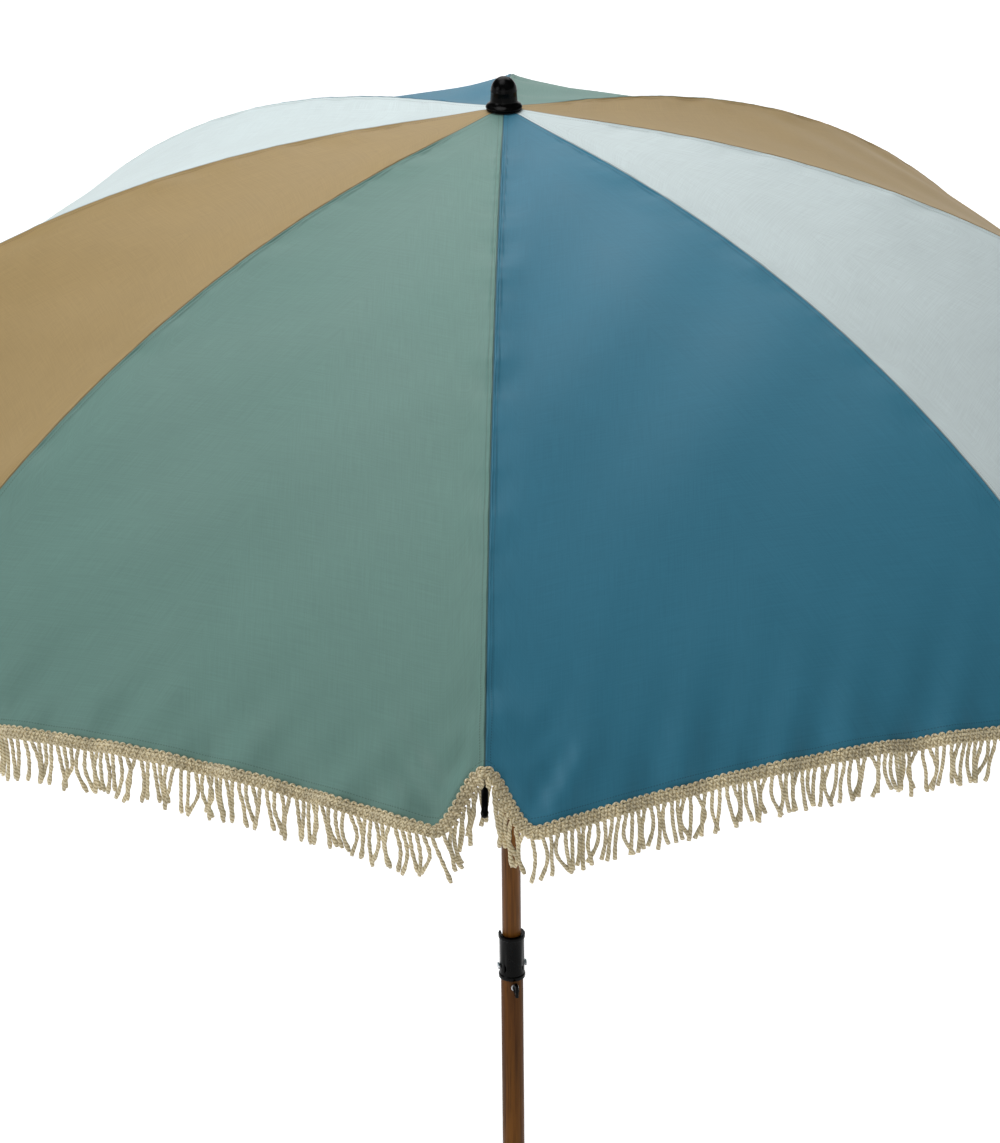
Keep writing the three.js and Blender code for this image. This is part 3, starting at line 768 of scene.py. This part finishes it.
def cords(hem, places, random):
    """The hanging cords, which cross the braid's face and then hang from its lower edge."""
    count = len(places)
    along = hem.sample(places, hem.frames[0])
    level = along * np.array([1, 1, 0])
    level /= np.linalg.norm(level, axis=1, keepdims=True)
    outward = np.cross(level, [0, 0, 1])
    outward *= np.sign(np.sum(outward * hem.sample(places, hem.frames[2]), axis=1, keepdims=True))
    top = np.stack([
        hem.point(places, np.full(count, down * MM), np.full(count, out * MM))
        for down, out in ((-3.6, 2.6), (1.2, 3.1), (5.4, 2.4), (8.0, 0.6))
    ], 1)
    share = np.linspace(0, 1, CORD_STEPS - 3)[1:]
    length = CORD_LENGTH + random.normal(0, 2.2 * MM, count)
    sideways = clumps(count, random) * CORD_PITCH + random.normal(0, 1.0 * MM, count)
    bow = random.normal(0, 3.0 * MM, count)
    lean_out = random.normal(0.5 * MM, 2.0 * MM, count)
    kick = random.normal(0, 3.2 * MM, count)
    move = sideways[:, None] * share ** 1.6 + bow[:, None] * np.sin(math.pi * share)
    move = move + kick[:, None] * np.sin(1.5 * math.pi * share) * share
    out = lean_out[:, None] * share ** 1.5
    drop = length[:, None] * share
    hanging = (top[:, -1:] + level[:, None] * move[..., None] + outward[:, None] * out[..., None]
               - np.array([0, 0, 1]) * drop[..., None])
    path = np.concatenate([top, hanging], 1)
    radii = np.full(path.shape[:2], CORD_RADIUS)
    radii[:, :2] *= 0.8
    radii[:, -2] *= 1.3
    reference = np.broadcast_to(along[:, None], path.shape)
    return tubes(path, radii, 6, reference, oval=0.2, twist=math.radians(100), along=2.3 * MM)


def fringe_half(gore, side):
    hem = HemLine(gore, side)
    count = round(hem.length / CORD_PITCH)
    places = (np.arange(count) + 0.5) * hem.length / count
    random = np.random.default_rng(FRINGE_SEED + 2 * gore + (side > 0))
    name = f"fringe_{gore + 1}_{'first' if side < 0 else 'second'}_half"
    piece = joined_tubes(name, [*braid_rows(hem), scallops(hem, places), cords(hem, places, random)])
    corners = np.zeros(len(piece.data.vertices) * 3)
    piece.data.vertices.foreach_get("co", corners)
    piece.data.vertices.foreach_set("co", to_gore(corners.reshape(-1, 3), gore).ravel())
    piece.data.update()
    return piece, count


cord_count = 0
for (gore, side), sheet in halves.items():
    piece, count = fringe_half(gore, side)
    piece.data.materials.append(cotton)
    cord_count += count
    rib = rib_of(gore, side)
    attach(piece, f"rib_{rib}")
    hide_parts(f"fringe_{gore + 1}")
    fold_with_rib(piece)
    fold_with_rib(sheet)
print("cords:", cord_count, "faces in a half fringe:", len(piece.data.polygons))

# %% [markdown]
# ## Hard materials
# The fittings are injection-moulded black plastic, glossy on the finial and the collar, with the faint
# unevenness of a polished mould. The pole is wood, stained dark and oiled: long fine grain, with the stain
# gathered in the pores. Ribs and stretchers are steel rod with black paint, and the hinge wires, pins and
# inner tube are zinc plated.

# %% Plastic, painted steel, plated steel


def object_noise(material, scale, detail=2.0, stretch=(1, 1, 1)):
    """Noise on the piece's own coordinates, in metres, so that scale counts per metre."""
    place = add(material, "ShaderNodeTexCoord").outputs["Object"]
    mapped = add(material, "ShaderNodeMapping", {"Vector": place, "Scale": stretch}).outputs[0]
    return noise(material, mapped, scale, detail)


def moulded_plastic(name, colour, dusty, roughness):
    """Polished moulded plastic: a sharp gloss, softer where hands and dust have dulled it."""
    material, shader = new_material(name, roughness, ior=1.5, Specular_IOR_Level=0.08)
    wear = object_noise(material, 70.0, 4.0)
    link(material, blend_colours(material, remapped(material, wear, 0.45, 0.75, 0, 1), colour, dusty),
         shader.inputs["Base Color"])
    link(material, remapped(material, wear, 0.35, 0.7, roughness * 0.8, roughness * 1.5),
         shader.inputs["Roughness"])
    grain = object_noise(material, 1400.0)
    bumped(material, shader, grain, 0.12, 0.05)
    return material


def painted_steel(name):
    """Black stoved paint on drawn rod: satin, faintly orange-peeled, rubbed thin here and there."""
    material, shader = new_material(name, 0.42, ior=1.5, Coat_Weight=0.2, Coat_Roughness=0.3)
    rub = object_noise(material, 160.0, 5.0)
    worn = remapped(material, rub, 0.66, 0.76, 0, 1)
    link(material, blend_colours(material, worn, "#1b1c1f", "#5a5753"), shader.inputs["Base Color"])
    link(material, math_of(material, "MULTIPLY", worn, 0.7), shader.inputs["Metallic"])
    link(material, remapped(material, rub, 0.3, 0.7, 0.34, 0.52), shader.inputs["Roughness"])
    peel = object_noise(material, 700.0)
    bumped(material, shader, peel, 0.2, 0.08)
    return material


def plated_steel(name):
    """Zinc plate over steel: pale grey, with streaks along the draw and dull blooms."""
    material, shader = new_material(name, 0.32, metallic=1.0)
    bloom = object_noise(material, 120.0, 4.0)
    streak = object_noise(material, 500.0, 2.0, (1, 1, 0.05))
    link(material, blend_colours(material, remapped(material, bloom, 0.4, 0.7, 0, 1), "#c9ccd0", "#a3a6a8"),
         shader.inputs["Base Color"])
    both = math_of(material, "ADD", bloom, streak)
    link(material, remapped(material, both, 0.7, 1.3, 0.24, 0.46), shader.inputs["Roughness"])
    bumped(material, shader, streak, 0.15, 0.05)
    return material


gloss_black = moulded_plastic("moulded_gloss_black_plastic", "#060606", "#0e0e0e", 0.18)
satin_black = moulded_plastic("moulded_satin_black_plastic", "#070707", "#101010", 0.34)
rod_paint = painted_steel("black_painted_steel_rod")
zinc = plated_steel("zinc_plated_steel")

# %% [markdown]
# The stain is darkest in the pores, which are drawn out along the pole. Real pores are a tenth of a
# millimetre wide, so here they are drawn 0.8 mm wide and 60 mm long, to show as fine streaks.

# %% Stained wood
GRAIN_WIDTH_MM = 0.8
GRAIN_LENGTH_MM = 60.0


def stained_wood(name):
    material, shader = new_material(name, 0.42, ior=1.48, Specular_IOR_Level=0.16)
    stretch = (1, 1, GRAIN_WIDTH_MM / GRAIN_LENGTH_MM)
    pores = object_noise(material, 1000 / GRAIN_WIDTH_MM, 3.0, stretch)
    bands = object_noise(material, 170.0, 3.0, (1, 1, 0.03))
    cloud = object_noise(material, 9.0, 2.0, (1, 1, 0.4))
    base = blend_colours(material, remapped(material, bands, 0.35, 0.65, 0, 1), "#4e2e0a", "#7c4d12")
    toned = blend_colours(material, remapped(material, cloud, 0.35, 0.65, 0, 0.5), base, "#623710")
    dark = blend_colours(material, remapped(material, pores, 0.56, 0.7, 0, 0.75), toned, "#241205")
    link(material, dark, shader.inputs["Base Color"])
    link(material, remapped(material, pores, 0.4, 0.7, 0.36, 0.6), shader.inputs["Roughness"])
    height = math_of(material, "ADD", math_of(material, "MULTIPLY", pores, -1.0), bands)
    bumped(material, shader, height, 0.35, 0.15)
    return material


wood = stained_wood("stained_oiled_wood")
print("hard materials:", [m.name for m in (gloss_black, satin_black, rod_paint, zinc, wood)])

# %% [markdown]
# ## Turned pieces
# The finial, the washer, the tubes and the spike are all round, so each is drawn up from one circle, as a
# potter raises a wall: its edge is extruded to the next height and scaled to the next radius. A solid
# piece has its two ends filled, and a pipe has its first and last edges bridged. Corners, except the
# finial's, are then rounded by a small bevel, because moulded and sawn edges are never sharp.

# %% Raise a turned piece
SIDES = 72


def only(piece):
    """Makes a piece the one selected and active object."""
    bpy.ops.object.select_all(action="DESELECT")
    piece.select_set(True)
    bpy.context.view_layer.objects.active = piece


def finished(piece, bevel_mm=0.0, smooth_degrees=32):
    """Rounds the corners, smooths the shading and puts the piece's place in its mesh."""
    only(piece)
    bpy.ops.object.transform_apply(location=True, rotation=True, scale=True)
    if bevel_mm:
        bevel = piece.modifiers.new("corners", "BEVEL")
        bevel.width = bevel_mm * MM
        bevel.segments = 2
        bevel.limit_method = "ANGLE"
        bevel.angle_limit = math.radians(35)
        bpy.ops.object.modifier_apply(modifier=bevel.name)
    bpy.ops.object.shade_smooth_by_angle(angle=math.radians(smooth_degrees))
    return piece


def turned(name, outline, pipe=False, bevel_mm=0.3, sides=SIDES):
    """A piece of revolution about the pole's axis; the outline is (radius, height) in millimetres."""
    bpy.ops.object.select_all(action="DESELECT")
    radius, height = outline[0]
    bpy.ops.mesh.primitive_circle_add(vertices=sides, radius=radius * MM, location=(0, 0, height * MM))
    piece = bpy.context.object
    piece.name = name
    bpy.ops.object.mode_set(mode="EDIT")
    bpy.ops.mesh.select_all(action="SELECT")
    for next_radius, next_height in outline[1:]:
        rise = {"value": (0, 0, (next_height - height) * MM)}
        bpy.ops.mesh.extrude_region_move(TRANSFORM_OT_translate=rise)
        grow = next_radius / radius
        bpy.ops.transform.resize(value=(grow, grow, 1), center_override=(0, 0, next_height * MM))
        radius, height = next_radius, next_height
    bpy.ops.mesh.select_all(action="DESELECT")
    bpy.ops.mesh.select_non_manifold()
    if pipe:
        bpy.ops.mesh.bridge_edge_loops()
    else:
        bpy.ops.mesh.fill_holes(sides=0)
    bpy.ops.mesh.select_all(action="SELECT")
    bpy.ops.mesh.normals_make_consistent(inside=False)
    bpy.ops.object.mode_set(mode="OBJECT")
    return finished(piece, bevel_mm)


def arc(centre, radii, start, end, steps):
    """Points along part of an ellipse, for an outline; angles in degrees from level."""
    angles = [math.radians(start + (end - start) * i / steps) for i in range(steps + 1)]
    return [(centre[0] + radii[0] * math.cos(a), centre[1] + radii[1] * math.sin(a)) for a in angles]


def dress(piece, body, node, material):
    """Rides a finished piece on a body in place of a CAD node, with its material."""
    piece.data.materials.clear()
    piece.data.materials.append(material)
    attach(piece, body)
    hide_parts(node)
    return piece


# %% [markdown]
# ## Finial and washer
# The finial is a bell on a flange, screwed down through the canopy into the top of the pole. Its outline
# is a thick lip, a hollow that sweeps up into the bell's wall, and a dome. The washer under it spreads its
# pressure over the cloth.

# %% Make the finial and the washer
FINIAL_SPIGOT_MM = 32
finial_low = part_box("finial")[0].z / MM + FINIAL_SPIGOT_MM
finial_outline = [
    (10.8, -31.5),
    (10.8, 0.0),
    *arc((21.9, 1.8), (1.8, 1.8), -90, 60, 6),
    *arc((25.4, 11.5), (8.0, 7.6), 245, 180, 6),
    (17.1, 16.0),
    (16.9, 21.5),
    (17.2, 22.3),
    (17.2, 23.3),
    *arc((0, 24.0), (16.7, 17.2), 2, 84, 14),
]
finial = turned("finial_bell", [(r, h + finial_low) for r, h in finial_outline], bevel_mm=0)
dress(finial, "upper_pole", "finial", gloss_black)

washer_low, washer_high = (corner.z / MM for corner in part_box("crown_washer"))
washer = turned("crown_washer_ring", [(11.6, washer_low), (22.9, washer_low), (22.9, washer_high),
                                      (11.6, washer_high)], pipe=True, bevel_mm=0.3)
dress(washer, "upper_pole", "crown_washer", satin_black)

# %% [markdown]
# ## Poles, inner tube and spike
# The two wooden tubes differ in thickness: the upper one turns in the collar's fork and carries the
# canopy, and the lower one takes the steel tube that slides inside it. The sand spike is a plain cone on a
# plug, pressed into the lower tube's end.

# %% Make the tubes and the spike


def tube(name, node, outer, inner, body, material, slot):
    """A plain tube between a CAD node's two ends, its mouth edges eased."""
    low, high = (corner.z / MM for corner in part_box(node))
    outline = [(inner, low), (outer, low), (outer, high), (inner, high)]
    return dress(turned(name, outline, pipe=True, bevel_mm=0.35, sides=96), body, node, material)


tube("upper_pole_tube", "upper_pole", 13.5, 12.0, "upper_pole", wood, "pole_wood")
tube("inner_slide_tube", "inner_tube", 14.2, 13.2, "tilt_base", zinc, "bright_steel")
tube("lower_pole_tube", "lower_pole", 16.0, 14.5, "lower_pole", wood, "pole_wood")

spike_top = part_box("sand_spike")[1].z / MM
spike_outline = [(5, 0), (7, 6), (9.2, 40), (13.4, 104), (15.2, 130), (16, 138), (16, 149.6), (14.1, 149.7),
                 (14.1, spike_top)]
spike = turned("sand_spike_cone", spike_outline, bevel_mm=0.5)
dress(spike, "lower_pole", "sand_spike", satin_black)

# %% [markdown]
# ## Ribs, stretchers and small fittings
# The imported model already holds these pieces' eyes, forks and slots. So each starts as a copy of its
# solid: the loose triangles are merged, flat neighbours are joined again, and the edges get a small bevel.
# Rods get a rounder skin of their own, swept along the same line, so that they don't show flats.

# %% Copy and ease a solid
RIB_LINE_STEPS = 60
RIB_SKIN_FROM = 32 * MM         # past the flat end by the crown
RIB_SKIN_PAST_HEM = 6 * MM      # into the tip
ROD_SIDES = 14
ROD_SKIN = 0.08 * MM
STRETCHER_RADIUS = 2.2 * MM
STRETCHER_FLAT_END = 14.5 * MM


def eased_copy(node, name, bevel_mm):
    """A copy of a CAD node with merged points, joined flats and rounded corners."""
    source = frame["nodes"][node]
    piece = bpy.data.objects.new(name, source.data.copy())
    bpy.context.scene.collection.objects.link(piece)
    only(piece)
    bpy.ops.object.mode_set(mode="EDIT")
    bpy.ops.mesh.select_all(action="SELECT")
    bpy.ops.mesh.remove_doubles(threshold=0.001 * MM)
    bpy.ops.mesh.dissolve_limited(angle_limit=math.radians(0.5))
    bpy.ops.object.mode_set(mode="OBJECT")
    return finished(piece, bevel_mm, smooth_degrees=40)


def rod(name, path, radius):
    """A round rod along points in the umbrella's frame, with closed ends."""
    curve = bpy.data.curves.new(name, "CURVE")
    curve.dimensions = "3D"
    curve.bevel_depth = radius
    curve.bevel_resolution = (ROD_SIDES - 4) // 2
    curve.use_fill_caps = True
    line = curve.splines.new("POLY")
    line.points.add(len(path) - 1)
    for point, place in zip(line.points, path):
        point.co = (*place, 1)
    piece = bpy.data.objects.new(name, curve)
    bpy.context.scene.collection.objects.link(piece)
    only(piece)
    bpy.ops.object.convert(target="MESH")
    bpy.ops.object.shade_smooth_by_angle(angle=math.radians(40))
    return bpy.context.object


def joined(piece, *others):
    """Joins pieces into the first one."""
    only(piece)
    for other in others:
        other.select_set(True)
    bpy.ops.object.join()
    return piece


def rib_centre(s, azimuth):
    """A point on a rib's centre line."""
    on_rib = min(s, CLOTH_LENGTH)
    past = s - on_rib
    slope = float(np.interp(on_rib, sample_s, sample_slope))
    radius = HINGE_RADIUS + float(np.interp(on_rib, sample_s, sample_x)) + past * math.cos(slope)
    height = CROWN + float(np.interp(on_rib, sample_s, sample_z)) - past * math.sin(slope)
    return direction(azimuth) * radius + Vector((0, 0, height))


def rod_of_stretcher(number, azimuth):
    """The two ends of a stretcher's round part, from its joint and the runner's hinge circle."""
    top = Vector(joints[f"stretcher_{number}_turn"]["pos_m"])
    low = direction(azimuth) * HINGE_RADIUS + Vector((0, 0, joints["runner_turn"]["pos_m"][2]))
    flat_end = (low - top).normalized() * STRETCHER_FLAT_END
    return [top + flat_end, low - flat_end]


for number in range(1, RIBS + 1):
    azimuth = 2 * HALF_ANGLE * (number - 1)
    steps = np.linspace(RIB_SKIN_FROM, CLOTH_LENGTH + RIB_SKIN_PAST_HEM, RIB_LINE_STEPS)
    skin = rod(f"rib_{number}_skin", [rib_centre(s, azimuth) for s in steps], ROD_RADIUS + ROD_SKIN)
    rib = joined(eased_copy(f"rib_{number}", f"rib_{number}_rod", 0.25), skin)
    dress(rib, f"rib_{number}", f"rib_{number}", rod_paint)
    skin = rod(f"stretcher_{number}_skin", rod_of_stretcher(number, azimuth), STRETCHER_RADIUS + ROD_SKIN)
    stretcher = joined(eased_copy(f"stretcher_{number}", f"stretcher_{number}_rod", 0.25), skin)
    dress(stretcher, f"stretcher_{number}", f"stretcher_{number}", rod_paint)
print("rib faces:", len(rib.data.polygons), "stretcher faces:", len(stretcher.data.polygons))

# %% Make the small fittings
SMALL_FITTINGS = {
    # node: (body, material, slot, bevel in mm)
    "crown_hub": ("upper_pole", satin_black, "black_plastic", 0.35),
    "runner": ("runner", satin_black, "black_plastic", 0.35),
    "runner_lever": ("runner_lever", gloss_black, "black_plastic", 0.5),
    "lever_pin": ("runner", zinc, "bright_steel", 0.15),
    "tilt_housing": ("tilt_base", gloss_black, "black_plastic", 0.45),
    "tilt_pin": ("tilt_base", zinc, "bright_steel", 0.4),
    "tilt_knuckle": ("upper_pole", satin_black, "black_plastic", 0.4),
    "screw_bushing": ("lower_pole", zinc, "bright_steel", 0.2),
    "height_screw": ("height_screw", gloss_black, "black_plastic", 0.9),
}
for node, (body, material, slot, bevel_mm) in SMALL_FITTINGS.items():
    dress(eased_copy(node, f"{node}_moulding", bevel_mm), body, node, material)
for number in range(1, RIBS + 1):
    tip = eased_copy(f"rib_tip_{number}", f"rib_tip_{number}_cap", 0.4)
    dress(tip, f"rib_{number}", f"rib_tip_{number}", gloss_black)

# %% [markdown]
# ## Hinge wires
# Each ring of hinges hangs on one hoop of plated wire, its ends butted. A hoop is a circle with a round
# section, so it is a torus at the wire's real thickness.

# %% Make the hinge wires
WIRE_RADIUS = 1.0 * MM
for node, body in (("crown_hinge_wire", "upper_pole"), ("runner_hinge_wire", "runner")):
    low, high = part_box(node)
    bpy.ops.object.select_all(action="DESELECT")
    bpy.ops.mesh.primitive_torus_add(
        location=(0, 0, (low.z + high.z) / 2), major_radius=HINGE_RADIUS, minor_radius=WIRE_RADIUS,
        major_segments=96, minor_segments=12)
    hoop = finished(bpy.context.object)
    hoop.name = f"{node}_hoop"
    dress(hoop, body, node, zinc)
left_over = [n for n, o in frame["nodes"].items() if not o.hide_render]
print("CAD nodes still shown:", left_over)
